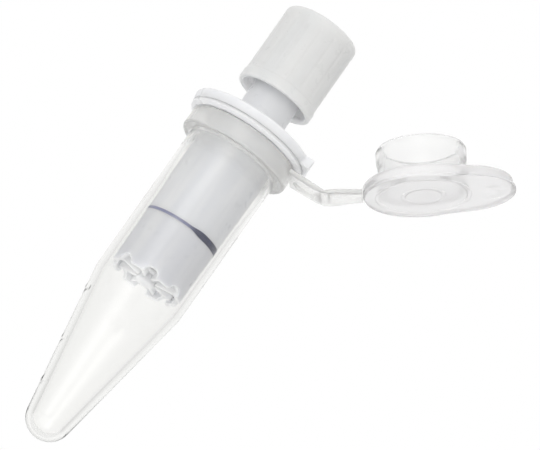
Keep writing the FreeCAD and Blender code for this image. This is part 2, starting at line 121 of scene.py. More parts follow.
# Strap
HINGE_X = 10.8
HINGE_Z = 1.5
LID_ANGLE = 36.5
STRAP_ROOT_Z = 1.5
STRAP_DROOP_Z = 1.45
STRAP_ROOT_WIDTH = 4.8
STRAP_WEB_WIDTH = 4.4
STRAP_LID_WIDTH = 3.2
STRAP_THICKNESS = 0.6
WEB_THICKNESS = 0.36
WEB_REACH = 1.0
WEB_START = 0.15
BEND_REACH = 0.5
STRAP_INSET = 0.02
STRAP_STATIONS = 90
STRAP_ACROSS = 20
STRAP_ROUND_STEPS = 5
POCKET_ALONG = -2.3
POCKET_HALF_LENGTH = 1.25
POCKET_HALF_WIDTH = 1.3
POCKET_FLOOR = 0.95
POCKET_EDGE = 1.2
POCKET_DEPTH = 0.22

# Lid, in its own flat frame with its centre at the origin and its plug upward. LID_CENTRE and
# LID_LIFT are its place from the hinge, along the strap and above it.
LID_CENTRE = 10.7
LID_LIFT = 0.2
LID_RADIUS = 6.5
LID_HALF = 0.7
TAB_RADIUS = 5.2
TAB_OFFSET = 4.45
LID_TURNS = 432
LID_INNER_RADIUS = 5.3
LID_EDGE_BAND = 0.55
LID_FACE_MARGIN = 0.05
LID_BAND_RADIUS = LID_RADIUS - LID_EDGE_BAND
GRIP_OFFSET = 7.5
GRIP_COUNT = 4
GRIP_PITCH = 0.75
GRIP_HEIGHT = 0.13
GRIP_CREST = 0.04
GRIP_FOOT = 0.2
GRIP_END_START = 1.6
GRIP_END_STOP = 1.85
LIP_LENGTH = 0.3
LIP_TOP = -0.4
LIP_STEP = 0.02
LIP_SETBACK = 0.12
GATE_RADII = (1.9, 2.0, 2.3, 2.45)
GATE_DEPTH = 0.05
GROOVE_RADII = (4.65, 4.8, 5.1, 5.25)
GROOVE_DEPTH = 0.06
PLUG_TOP = 4.75
PLUG_RADIUS = 4.93
PLUG_NECK_RADIUS = 4.78
PLUG_NECK_TOP = 2.7
PLUG_BEAD_LOW = 3.3
PLUG_BEAD_TOP = 4.35
PLUG_CHAMFER = 0.18
PLUG_BORE = 4.1
PLUG_LOOK_LIFT = 0.15

# Column
COLUMN_TURN = 13.0
COLUMN_TURNS = 384
COLUMN_TOP_RADIUS = 4.5
COLUMN_FOOT_RADIUS = 4.3
COLUMN_FOOT_Z = -17.0
CHAMBER_TOP_RADIUS = 3.85
CHAMBER_FOOT_RADIUS = 3.65
FLANGE_LOW_Z = 2.32
FLANGE_TOP_Z = 2.9
FLANGE_RADIUS = 7.05
FLANGE_FOOT_RADIUS = 6.6
FLANGE_BEVEL = 0.25
FLOOR_TOP_Z = -15.6
FLOOR_LOW_Z = -16.1
FLOOR_ROUND = 0.05
SKIRT_BORE = 3.75
SKIRT_ROUND = 0.12
PETAL_COUNT = 8
PETAL_RADIUS = 0.8
WINDOW_RADIUS = 0.75
WINDOW_CIRCLE = 2.45
WINDOW_LOW_Z = -17.3
WINDOW_TOP_Z = -15.2
WINDOW_TURNS = 40
RIB_THICKNESS = 0.35
RIB_HEIGHT = 0.6
RIB_SOFT_IN = 0.03
RIB_SOFT_OUT = 0.05
BOSS_RADIUS = 1.1
BOSS_LOW_Z = -17.2
COLOUR_MARGIN = 0.3
CROWN_WALL = 0.08
RING_Z = -10.22
RING_HEIGHT = 0.75
RING_OUTER = 4.4
RING_INNER = 4.1
RING_THIN_SHARE = 0.42
RING_GAIN = 0.58
RING_BOLD_ANGLE = -10.0
RING_BOLD_COSINES = (0.5, 0.8)
DISC_MARGIN = 0.01
DISC_ROUND = 0.06
DISC_TURNS = 96

# Column cap
CAP_LOW_Z = 2.92
CAP_TOP_Z = 4.05
CAP_FOOT_RADIUS = 7.1
CAP_TOP_RADIUS = 7.3
CAP_TAB_REACH = 7.55
CAP_TAB_HALF_WIDTH = 3.5
CAP_PLUG_LOW_Z = 0.2
CAP_PLUG_RADIUS = 3.78
CAP_PLUG_CHAMFER = 0.6
CAP_PLUG_CHAMFER_WIDTH = 0.2
CAP_PLUG_BORE = 3.1
CAP_STRETCH_START = 6.6
CAP_STRETCH_END = 7.0
NECK_RADIUS = 2.82
NECK_TOP_Z = 12.0
LUER_MOUTH_RADIUS = 2.135
LUER_FOOT_RADIUS = 1.907
LUER_FOOT_Z = 4.4
CHANNEL_RADIUS = 1.2
LUG_Z = 11.4
LUG_REACH = 3.7
LUG_ZONE_Z = 10.5
LUG_ROOT = 0.3
LUG_HALF_HEIGHT = (0.3, 0.45)
LUG_HALF_WIDTH = (0.8, 0.95)

# Luer closure's plug, from its tapered tip up through its stem to its head
LUER_TIP_RADIUS = 1.75
LUER_TIP_CHAMFER = 0.3
TAPER_LOW_RADIUS = 1.9
TAPER_TOP_RADIUS = 2.095
STEM_LOW_Z = 12.15
STEM_RADIUS = 2.6
HEAD_LOW_Z = 13.5
HEAD_RADIUS = 3.6
CORE_RADIUS = 0.9
CORE_FOOT_Z = 6.8
LUER_PLUG_TURNS = 128

# Luer closure's collar
COLLAR_LOW_Z = 8.0
COLLAR_TOP_Z = 17.85
COLLAR_RADIUS = 4.42
COLLAR_BEAD_RADIUS = 4.52
COLLAR_BEAD_TOP_Z = 9.1
COLLAR_BEAD_BLEND = 0.25
COLLAR_SKIN = 0.05
COLLAR_BORE = 3.95
BORE_MARGIN = 0.15
COLLAR_CEILING_Z = 16.5
PRESS_RING_RADII = (2.6, 2.65, 3.15, 3.2)
PRESS_RING_LOW_Z = 14.46
LEDGE_RADIUS = 3.0
LEDGE_LOW_Z = 13.15
LEDGE_TOP_Z = 13.4
FLUTE_COUNT = 16
FLUTE_DEPTH = 0.04
FLUTE_LOW_Z = 9.6
FLUTE_TOP_Z = 16.6
FLUTE_FADE = 0.5
THREAD_LEAD = 5.0
THREAD_STARTS = 2
THREAD_LOW_Z = 8.2
THREAD_TOP_Z = 13.0
THREAD_HEIGHT = 0.55
THREAD_FADE = 0.4
THREAD_CREST_HALF = 0.28
THREAD_FOOT_HALF = 0.52


def smooth(low, high, value):
    """0 below low, 1 above high, with a soft step between."""
    t = min(1.0, max(0.0, (value - low) / (high - low)))
    return t * t * (3 - 2 * t)


def fillet(before, here, after, radius):
    """Points of the round that replaces a corner."""
    to_before = (before - here).normalized()
    to_after = (after - here).normalized()
    half = to_before.angle(to_after) / 2
    if half > math.radians(STRAIGHT):
        return [here]
    centre = here + (to_before + to_after).normalized() * radius / math.sin(half)
    start = here + to_before * radius / math.tan(half) - centre
    end = here + to_after * radius / math.tan(half) - centre
    turn = start.angle(end)
    shares = [i / FILLET_STEPS for i in range(FILLET_STEPS + 1)]
    return [centre + (start * math.sin((1 - share) * turn) + end * math.sin(share * turn))
            / math.sin(turn) for share in shares]


def outline(corners, spacing, closed=False):
    """Rounded, evenly divided line through (radius, height, round) corners."""
    points = []
    for i, (x, z, radius) in enumerate(corners):
        here = Vector((x, z))
        inner = closed or 0 < i < len(corners) - 1
        if radius and inner:
            before = Vector(corners[i - 1][:2])
            after = Vector(corners[(i + 1) % len(corners)][:2])
            points += fillet(before, here, after, radius)
        else:
            points.append(here)
    ends = points[1:] + (points[:1] if closed else [])
    line = []
    for start, end in zip(points, ends):
        length = (end - start).length
        line.append(start)
        if length > 4 * SUPPORT:
            parts = max(1, math.ceil((length - 2 * SUPPORT) / spacing))
            inset = SUPPORT / length
            shares = [inset + (1 - 2 * inset) * i / parts for i in range(parts + 1)]
            line += [start.lerp(end, share) for share in shares]
    if not closed:
        line.append(points[-1])
    return line


def mesh_piece(name, points, faces):
    """Smooth-shaded object from points in millimetres and their faces."""
    mesh = bpy.data.meshes.new(name)
    mesh.from_pydata([(x * MM, y * MM, z * MM) for x, y, z in points], [], faces)
    mesh.validate()
    mesh.shade_smooth()
    piece = bpy.data.objects.new(name, mesh)
    bpy.context.scene.collection.objects.link(piece)
    return piece


def spin(name, line, shape=None, closed=False, turns=TURNS):
    """Solid made by turning a line about Z. shape may move each point: (r, z, angle) to (r, z)."""
    points = []
    rings = []
    for r, z in line:
        if r < ON_AXIS:
            rings.append([len(points)])
            points.append((0, 0, z))
            continue
        ring = []
        for k in range(turns):
            angle = math.tau * k / turns
            radius, height = shape(r, z, angle) if shape else (r, z)
            ring.append(len(points))
            points.append((radius * math.cos(angle), radius * math.sin(angle), height))
        rings.append(ring)
    pairs = list(zip(rings, rings[1:])) + ([(rings[-1], rings[0])] if closed else [])
    faces = []
    for low, high in pairs:
        for k in range(turns):
            face = [low[k % len(low)], low[(k + 1) % turns % len(low)],
                    high[(k + 1) % turns % len(high)], high[k % len(high)]]
            faces.append([v for i, v in enumerate(face) if v not in face[:i]])
    return mesh_piece(name, points, faces)


def angle_from(angle, centre):
    """Signed difference of two angles, in radians, between -pi and pi."""
    return (angle - centre + math.pi) % math.tau - math.pi


# Materials

PLASTIC_IOR = 1.49


def new_material(name, colour, roughness, transmission=0.0):
    """Material with its shader's plain values set, and its nodes and links to add to."""
    material = bpy.data.materials.new(name)
    material.use_nodes = True
    tree = material.node_tree
    shader = tree.nodes["Principled BSDF"]
    shader.inputs["Base Color"].default_value = (*colour, 1)
    shader.inputs["Roughness"].default_value = roughness
    shader.inputs["IOR"].default_value = PLASTIC_IOR
    shader.inputs["Transmission Weight"].default_value = transmission
    return material, tree, shader


def noise(tree, scale, detail, stretch=(1, 1, 1)):
    """Noise that rides on the piece, scale in features per metre."""
    place = tree.nodes.new("ShaderNodeTexCoord")
    mapping = tree.nodes.new("ShaderNodeMapping")
    mapping.inputs["Scale"].default_value = stretch
    texture = tree.nodes.new("ShaderNodeTexNoise")
    texture.inputs["Scale"].default_value = scale
    texture.inputs["Detail"].default_value = detail
    tree.links.new(place.outputs["Object"], mapping.inputs["Vector"])
    tree.links.new(mapping.outputs["Vector"], texture.inputs["Vector"])
    return texture.outputs["Fac"]


def spread(tree, value, low, high, socket):
    """Map a noise value onto a range and feed it to a socket."""
    span = tree.nodes.new("ShaderNodeMapRange")
    span.inputs["From Min"].default_value = 0.3
    span.inputs["From Max"].default_value = 0.7
    span.inputs["To Min"].default_value = low
    span.inputs["To Max"].default_value = high
    tree.links.new(value, span.inputs["Value"])
    tree.links.new(span.outputs["Result"], socket)


def tint(tree, shader, value, first, second):
    """Mix two colours by a noise value into the base colour."""
    ramp = tree.nodes.new("ShaderNodeValToRGB")
    ramp.color_ramp.elements[0].position = 0.35
    ramp.color_ramp.elements[0].color = (*first, 1)
    ramp.color_ramp.elements[1].position = 0.65
    ramp.color_ramp.elements[1].color = (*second, 1)
    tree.links.new(value, ramp.inputs["Fac"])
    tree.links.new(ramp.outputs["Color"], shader.inputs["Base Color"])


def bump(tree, shader, heights):
    """Chain bumps of (noise value, depth in metres) into the shader's normal."""
    normal = None
    for value, depth in heights:
        node = tree.nodes.new("ShaderNodeBump")
        node.inputs["Strength"].default_value = 1.0
        node.inputs["Distance"].default_value = depth
        tree.links.new(value, node.inputs["Height"])
        if normal:
            tree.links.new(normal, node.inputs["Normal"])
        normal = node.outputs["Normal"]
    tree.links.new(normal, shader.inputs["Normal"])


def absorb(tree, colour, density):
    """Let light lose a little on its way through the plastic."""
    volume = tree.nodes.new("ShaderNodeVolumeAbsorption")
    volume.inputs["Color"].default_value = (*colour, 1)
    volume.inputs["Density"].default_value = density
    tree.links.new(volume.outputs["Volume"], tree.nodes["Material Output"].inputs["Volume"])


def height_ramp(tree, low_z, high_z, low_value, high_value, socket):
    """Blend a socket between two values by height on the piece, heights in millimetres."""
    place = tree.nodes.new("ShaderNodeTexCoord")
    split = tree.nodes.new("ShaderNodeSeparateXYZ")
    ramp = tree.nodes.new("ShaderNodeMapRange")
    ramp.inputs["From Min"].default_value = low_z * MM
    ramp.inputs["From Max"].default_value = high_z * MM
    ramp.inputs["To Min"].default_value = low_value
    ramp.inputs["To Max"].default_value = high_value
    tree.links.new(place.outputs["Object"], split.inputs["Vector"])
    tree.links.new(split.outputs["Z"], ramp.inputs["Value"])
    tree.links.new(ramp.outputs["Result"], socket)


def clear_plastic(name, colour, rough_low, rough_high, clearness, ior):
    """Clear moulded polypropylene with soft flow waves and a fine grain."""
    material, tree, shader = new_material(name, colour, rough_low, clearness)
    shader.inputs["IOR"].default_value = ior
    flow = noise(tree, 160, 2, (1, 1, 0.35))
    fine = noise(tree, 5200, 2)
    spread(tree, noise(tree, 420, 4), rough_low, rough_high, shader.inputs["Roughness"])
    bump(tree, shader, [(flow, 0.00004), (fine, 0.000001)])
    return material


def tube_plastic():
    """Clear polypropylene with a little loss inside, hazy in the thick rim and its strap."""
    material = clear_plastic("clear_polypropylene", (0.985, 0.985, 0.98),
                             rough_low=0.03, rough_high=0.06, clearness=1.0, ior=PLASTIC_IOR)
    tree = material.node_tree
    absorb(tree, (0.925, 0.922, 0.91), 190.0)
    height_ramp(tree, HAZE_LOW_Z, HAZE_TOP_Z, 1.0, 0.7,
                tree.nodes["Principled BSDF"].inputs["Transmission Weight"])
    return material


def milky_plastic(name, first, second, depth):
    """Natural polypropylene: light sinks in and spreads, with faint clouds."""
    material, tree, shader = new_material(name, first, 0.3)
    shader.inputs["Subsurface Weight"].default_value = 1.0
    shader.inputs["Subsurface Radius"].default_value = (1.0, 1.0, 1.0)
    shader.inputs["Subsurface Scale"].default_value = depth
    shader.inputs["Specular IOR Level"].default_value = 0.3
    tint(tree, shader, noise(tree, 420, 3, (1, 1, 0.09)), first, second)
    spread(tree, noise(tree, 900, 3), 0.26, 0.36, shader.inputs["Roughness"])
    bump(tree, shader, [(noise(tree, 220, 2), 0.00003), (noise(tree, 6000, 2), 0.000002)])
    return material


def ring_plastic():
    """Dark blue band with a painted highlight: paler across one side along X, darker on the other.
    """
    material, tree, shader = new_material("blue_ring", (0.04, 0.045, 0.09), 0.35)
    place = tree.nodes.new("ShaderNodeTexCoord")
    split = tree.nodes.new("ShaderNodeSeparateXYZ")
    ramp = tree.nodes.new("ShaderNodeValToRGB")
    span = tree.nodes.new("ShaderNodeMapRange")
    span.inputs["From Min"].default_value = -RING_OUTER * MM
    span.inputs["From Max"].default_value = RING_OUTER * MM
    stops = ramp.color_ramp.elements
    stops[0].position, stops[0].color = 0.02, (0.07, 0.075, 0.16, 1)
    stops[1].position, stops[1].color = 0.76, (0.035, 0.04, 0.085, 1)
    # Painted highlight: these two pale stops lighten the band across one side.
    pale = stops.new(0.14)
    pale.color = (0.26, 0.27, 0.40, 1)
    highlight_fade = stops.new(0.64)
    highlight_fade.color = (0.17, 0.18, 0.29, 1)
    shade = noise(tree, 900, 4)
    mix = tree.nodes.new("ShaderNodeMix")
    mix.data_type = "RGBA"
    mix.blend_type = "MULTIPLY"
    mix.inputs["B"].default_value = (0.85, 0.85, 0.9, 1)
    tree.links.new(place.outputs["Object"], split.inputs["Vector"])
    tree.links.new(split.outputs["X"], span.inputs["Value"])
    tree.links.new(span.outputs["Result"], ramp.inputs["Fac"])
    tree.links.new(shade, mix.inputs["Factor"])
    tree.links.new(ramp.outputs["Color"], mix.inputs["A"])
    tree.links.new(mix.outputs["Result"], shader.inputs["Base Color"])
    spread(tree, noise(tree, 1500, 3), 0.3, 0.42, shader.inputs["Roughness"])
    bump(tree, shader, [(noise(tree, 5000, 2), 0.000006)])
    return material


def porous_material(name, first, second, grain):
    """Sintered or packed grains."""
    material, tree, shader = new_material(name, first, 0.85)
    tint(tree, shader, noise(tree, grain, 5), first, second)
    spread(tree, noise(tree, grain, 3), 0.75, 0.95, shader.inputs["Roughness"])
    bump(tree, shader, [(noise(tree, grain, 4), 0.00008)])
    return material


def stage_material(name, colour):
    """Pale matte sweep with a faint unevenness."""
    material, tree, shader = new_material(name, colour, 0.9)
    spread(tree, noise(tree, 6, 4), 0.85, 0.95, shader.inputs["Roughness"])
    return material


CLEAR = tube_plastic()
LID = clear_plastic("satin_polypropylene", (0.945, 0.94, 0.945),
                    rough_low=0.13, rough_high=0.19, clearness=0.66, ior=1.36)
PLUG = clear_plastic("clear_plug_polypropylene", (0.95, 0.95, 0.95),
                     rough_low=0.06, rough_high=0.1, clearness=0.82, ior=1.3)
# Painted light: a lighter copy of the white plastic for the collar's threaded bore, lifting the
# shade inside it.
PAINTED_LIGHT_BORE = milky_plastic("white_polypropylene_painted_light_bore", (0.86, 0.865, 0.88), (0.9, 0.9, 0.91), 0.0016)
# Painted shade: a darker copy of the column's milky colour, for its wall below the ring.
PAINTED_SHADE_BELOW_RING = milky_plastic("milky_polypropylene_painted_shade_below_ring",
                    (0.625, 0.632, 0.665), (0.71, 0.713, 0.73), 0.0008)
COLUMN = milky_plastic("milky_polypropylene", (0.67, 0.68, 0.71), (0.765, 0.768, 0.78), 0.0008)
CAP = milky_plastic("milky_cap", (0.76, 0.765, 0.785), (0.785, 0.79, 0.80), 0.0008)
WHITE = milky_plastic("white_polypropylene", (0.70, 0.705, 0.705), (0.725, 0.725, 0.72), 0.0009)
BLUE = ring_plastic()
FRIT = porous_material("porous_frit", (0.82, 0.82, 0.80), (0.9, 0.9, 0.89), 3500)
SORBENT = porous_material("sorbent", (0.78, 0.78, 0.78), (0.9, 0.9, 0.9), 6000)


def finish_piece(piece, body, slot, material, *nodes):
    """Dress a piece, put it on its body if it has just one, and let it stand for its CAD nodes."""
    piece.data.materials.clear()
    piece.data.materials.append(material)
    if body:
        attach(piece, body)
    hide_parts(*nodes)


# Pieces

def cone_half_angle(top_radius, tip_radius):
    """Half angle of a cone that leaves the shoulder and touches the round tip."""
    reach = SHOULDER_Z - TIP_Z
    return math.atan2(top_radius, reach) - math.asin(tip_radius / math.hypot(top_radius, reach))


def tip_arc(top_radius, tip_radius):
    """Corners of the round tip, from its pole up to where the cone begins."""
    touch = math.degrees(cone_half_angle(top_radius, tip_radius))
    corners = []
    for i in range(ARC_STEPS + 1):
        angle = math.radians(-90 + (90 - touch) * i / ARC_STEPS)
        corners.append((tip_radius * math.cos(angle), TIP_Z + tip_radius * math.sin(angle), 0))
    return corners


def soft_bar(half, soft, away):
    """1 within half of a line, 0 beyond it, with a soft edge to each side of half."""
    return 1 - smooth(half - soft, half + soft, away)


def tick_height(r, z, angle):
    """How far a graduation tick lifts the outside of the cone."""
    slope = math.tan(cone_half_angle(BODY_RADIUS, TIP_RADIUS))
    cone_radius = BODY_RADIUS - (SHOULDER_Z - z) * slope
    if z > SHOULDER_Z or r < cone_radius - WALL_MARGIN:
        return 0
    along = abs(angle_from(angle, math.radians(TICK_ANGLE))) * r
    sides = soft_bar(TICK_WIDTH / 2, TICK_SIDE_SOFT, along)
    return sum(TICK_PROUD * sides * soft_bar(TICK_HEIGHT / 2, TICK_EDGE_SOFT, abs(z - tick))
               for tick in TICK_HEIGHTS)


def collection_tube():
    """Conical tube with its rim, from the tip up the outside and down the bore."""
    corners = tip_arc(BODY_RADIUS, TIP_RADIUS)
    corners += [(BODY_RADIUS, SHOULDER_Z, 6), (BODY_RADIUS, 0, 0.25), (RIM_RADIUS, 0, 0.35),
                (RIM_RADIUS, RIM_HEIGHT, 0.35), (MOUTH_RADIUS, RIM_HEIGHT, 0.35),
                (MOUTH_RADIUS, MOUTH_FOOT_Z, 6), (BORE_TOP_RADIUS, MOUTH_END_Z, 6),
                (BORE_FOOT_RADIUS, SHOULDER_Z, 6)]
    corners += reversed(tip_arc(BORE_FOOT_RADIUS, BORE_TIP_RADIUS))
    tube = spin("collection_tube_shell", outline(corners, 0.2),
                lambda r, z, angle: (r + tick_height(r, z, angle), z))
    finish_piece(tube, "tube", "clear_polypropylene", CLEAR, "collection_tube")


def tab_radius(angle, plate_radius, end_radius):
    """Distance from the lid's centre to its teardrop edge."""
    normal = math.acos((plate_radius - end_radius) / TAB_OFFSET)
    touch = math.atan2(end_radius * math.sin(normal), TAB_OFFSET + end_radius * math.cos(normal))
    away = abs(angle_from(angle, 0))
    if away >= normal:
        return plate_radius
    if away >= touch:
        return plate_radius / math.cos(away - normal)
    across = TAB_OFFSET * math.sin(away)
    return TAB_OFFSET * math.cos(away) + math.sqrt(end_radius ** 2 - across ** 2)


def lid_shape(r, z, angle):
    """Stretch the round plate into the teardrop, keep its rim profile, and add the tab's grips."""
    inner, band = LID_INNER_RADIUS, LID_EDGE_BAND
    edge = tab_radius(angle, LID_RADIUS, TAB_RADIUS)
    if z < LIP_TOP + 0.001:
        lip = tab_radius(angle, LID_RADIUS - LIP_LENGTH, TAB_RADIUS + LIP_LENGTH)
        edge = max(edge - LIP_SETBACK, lip)
    if r > LID_RADIUS - band:
        r = edge - (LID_RADIUS - r)
    elif r > inner:
        r = inner + (r - inner) * (edge - band - inner) / (LID_RADIUS - band - inner)
    if z < -LID_HALF + LID_FACE_MARGIN and r > LID_RADIUS:
        x, y = r * math.cos(angle), r * math.sin(angle)
        for k in range(GRIP_COUNT):
            ridge_x = GRIP_OFFSET + GRIP_PITCH * (k - (GRIP_COUNT - 1) / 2)
            ridge = 1 - smooth(GRIP_CREST, GRIP_FOOT, abs(x - ridge_x))
            z -= GRIP_HEIGHT * ridge * (1 - smooth(GRIP_END_START, GRIP_END_STOP, abs(y)))
    return r, z


def raise_lid(piece):
    """Carry a lid piece from its flat drawing to the half-open place on the hinge."""
    hinge = Matrix.Translation(Vector((HINGE_X, 0, HINGE_Z)) * MM)
    tilt = Matrix.Rotation(-math.radians(LID_ANGLE), 4, "Y")
    out = Matrix.Translation(Vector((LID_CENTRE, 0, LID_LIFT)) * MM)
    piece.data.transform(hinge @ tilt @ out)


def tube_lid():
    """Lid with its gate ring and groove outside and its hollow sealing plug inside."""
    face, gate_z, groove_z = -LID_HALF, -LID_HALF + GATE_DEPTH, -LID_HALF + GROOVE_DEPTH
    gate, groove = GATE_RADII, GROOVE_RADII
    corners = [(0, face, 0),
               (gate[0], face, 0.08), (gate[1], gate_z, 0.1),
               (gate[2], gate_z, 0.1), (gate[3], face, 0.1),
               (groove[0], face, 0.08), (groove[1], groove_z, 0.1),
               (groove[2], groove_z, 0.1), (groove[3], face, 0.08),
               (LID_BAND_RADIUS, face, 0), (LID_RADIUS, face, 0.14),
               (LID_RADIUS, LIP_TOP, 0.1), (LID_RADIUS, LIP_TOP + LIP_STEP, 0),
               (LID_RADIUS, LID_HALF, 0.3), (LID_BAND_RADIUS, LID_HALF, 0),
               (PLUG_NECK_RADIUS, LID_HALF, 0.3), (PLUG_NECK_RADIUS, PLUG_NECK_TOP, 0.5),
               (PLUG_RADIUS, PLUG_BEAD_LOW, 0.4), (PLUG_RADIUS, PLUG_BEAD_TOP, 0.3),
               (PLUG_RADIUS - PLUG_CHAMFER, PLUG_TOP, 0.2), (PLUG_BORE, PLUG_TOP, 0.12),
               (PLUG_BORE, 0, 0.25), (0, 0, 0)]
    lid = spin("snap_lid", outline(corners, 0.1), lid_shape, turns=LID_TURNS)
    finish_piece(lid, "lid", "clear_polypropylene", LID, "tube_lid")
    lid.data.materials.append(PLUG)
    for polygon in lid.data.polygons:
        polygon.material_index = int(polygon.center.z > (LID_HALF + PLUG_LOOK_LIFT) * MM)
    raise_lid(lid)


def strap_section(along):
    """Middle point and width of the strap at a distance from the hinge."""
    if along < 0:
        to_root = min(1, max(0, (-along - WEB_REACH) / (HINGE_X - RIM_RADIUS - WEB_REACH)))
        x, z = HINGE_X + along, HINGE_Z + (STRAP_DROOP_Z - HINGE_Z) * smooth(0, WEB_REACH, -along)
        z += (STRAP_ROOT_Z - STRAP_DROOP_Z) * to_root
        share = smooth(0, HINGE_X - RIM_RADIUS, -along)
        width = STRAP_WEB_WIDTH + (STRAP_ROOT_WIDTH - STRAP_WEB_WIDTH) * share
        return x, z, width
    tilt = math.radians(LID_ANGLE)
    x, z = HINGE_X + along * math.cos(tilt), HINGE_Z + along * math.sin(tilt)
    share = smooth(0, LID_CENTRE - LID_RADIUS, along)
    return x, z, STRAP_WEB_WIDTH + (STRAP_LID_WIDTH - STRAP_WEB_WIDTH) * share


def strap_loop(width, thick):
    """(sideways, up) points once round the strap's section: a flat bar with round edges."""
    half, flat = thick / 2, width / 2 - thick / 2
    across = STRAP_ACROSS
    turns = [math.pi * k / STRAP_ROUND_STEPS for k in range(STRAP_ROUND_STEPS)]
    loop = [(flat * (1 - 2 * k / across), half) for k in range(across)]
    loop += [(-flat - half * math.sin(turn), half * math.cos(turn)) for turn in turns]
    loop += [(flat * (2 * k / across - 1), -half) for k in range(across)]
    loop += [(flat + half * math.sin(turn), -half * math.cos(turn)) for turn in turns]
    return loop


def pocket_rise(along, y):
    """Height of the oval pocket in the strap's underside."""
    away = math.hypot((along - POCKET_ALONG) / POCKET_HALF_LENGTH, y / POCKET_HALF_WIDTH)
    return POCKET_DEPTH * (1 - smooth(POCKET_FLOOR, POCKET_EDGE, away))


def hinge_strap():
    """Strap from the rim to the lid, thin at the hinge and bent to the half-open rest."""
    start = -(HINGE_X - RIM_RADIUS) + STRAP_INSET
    end = LID_CENTRE - LID_RADIUS - STRAP_INSET
    tilt = math.radians(LID_ANGLE)
    points = []
    for i in range(STRAP_STATIONS + 1):
        along = start + (end - start) * i / STRAP_STATIONS
        x, z, width = strap_section(along)
        bend = tilt * smooth(-BEND_REACH, BEND_REACH, along)
        share = smooth(WEB_START, WEB_REACH, abs(along))
        thick = WEB_THICKNESS + (STRAP_THICKNESS - WEB_THICKNESS) * share
        for y, up in strap_loop(width, thick):
            if up < -thick / 2 + 0.001:
                up += pocket_rise(along, y)
            points.append((x - up * math.sin(bend), y, z + up * math.cos(bend)))
    size = 2 * (STRAP_ACROSS + STRAP_ROUND_STEPS)
    faces = []
    for low in range(0, STRAP_STATIONS * size, size):
        for k in range(size):
            after = (k + 1) % size
            faces.append([low + k, low + after, low + size + after, low + size + k])
    faces += [list(range(size))[::-1], [STRAP_STATIONS * size + k for k in range(size)]]
    strap = mesh_piece("lid_strap", points, faces)
    finish_piece(strap, None, "clear_polypropylene", CLEAR,
                 "hinge_strap_tube_side", "living_hinge", "hinge_strap_lid_side")
    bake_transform(strap)


def away_from_arch(angle):
    """Angle to the middle of the nearest arch between two petals of the column's foot."""
    centre = math.radians(COLUMN_TURN) * PETAL_COUNT
    return abs(angle_from(angle * PETAL_COUNT, centre)) / PETAL_COUNT


def arch_rise(angle):
    """Height of the arches cut into the column's skirt, above its foot."""
    reach = away_from_arch(angle) * COLUMN_FOOT_RADIUS
    return math.sqrt(PETAL_RADIUS ** 2 - reach ** 2) if reach < PETAL_RADIUS else 0


def column_shape(r, z, angle):
    """Arches in the skirt and ribs under the floor."""
    if z < FLOOR_LOW_Z - NEAR and r > SKIRT_BORE - SKIRT_ROUND:
        share = (FLOOR_LOW_Z - z) / (FLOOR_LOW_Z - COLUMN_FOOT_Z)
        z += arch_rise(angle) * min(1, share)
    elif abs(z - FLOOR_LOW_Z) < NEAR and BOSS_RADIUS < r < SKIRT_BORE - FLOOR_ROUND:
        reach = away_from_arch(angle - math.pi / PETAL_COUNT) * r
        half = RIB_THICKNESS / 2
        z -= RIB_HEIGHT * (1 - smooth(half - RIB_SOFT_IN, half + RIB_SOFT_OUT, reach))
    return r, z


def cut_windows(piece):
    """Round windows through the floor of the column."""
    cutters = []
    line = [(0, WINDOW_LOW_Z), (WINDOW_RADIUS, WINDOW_LOW_Z),
            (WINDOW_RADIUS, WINDOW_TOP_Z), (0, WINDOW_TOP_Z)]
    for k in range(PETAL_COUNT):
        angle = math.radians(COLUMN_TURN) + math.tau * k / PETAL_COUNT
        centre = Vector((WINDOW_CIRCLE * math.cos(angle), WINDOW_CIRCLE * math.sin(angle), 0))
        hole = spin(f"window_{k}", line, turns=WINDOW_TURNS)
        hole.data.transform(Matrix.Translation(centre * MM))
        cutters.append(hole)
    for hole in cutters:
        modifier = piece.modifiers.new("window", "BOOLEAN")
        modifier.operation = "DIFFERENCE"
        modifier.solver = "MANIFOLD"
        modifier.object = hole
    bake_modifiers(piece)
    for hole in cutters:
        bpy.data.objects.remove(hole)


def bake_modifiers(piece):
    """Replace a piece's mesh by its result with all modifiers applied."""
    graph = bpy.context.evaluated_depsgraph_get()
    graph.update()
    result = bpy.data.meshes.new_from_object(piece.evaluated_get(graph))
    piece.modifiers.clear()
    piece.data = result


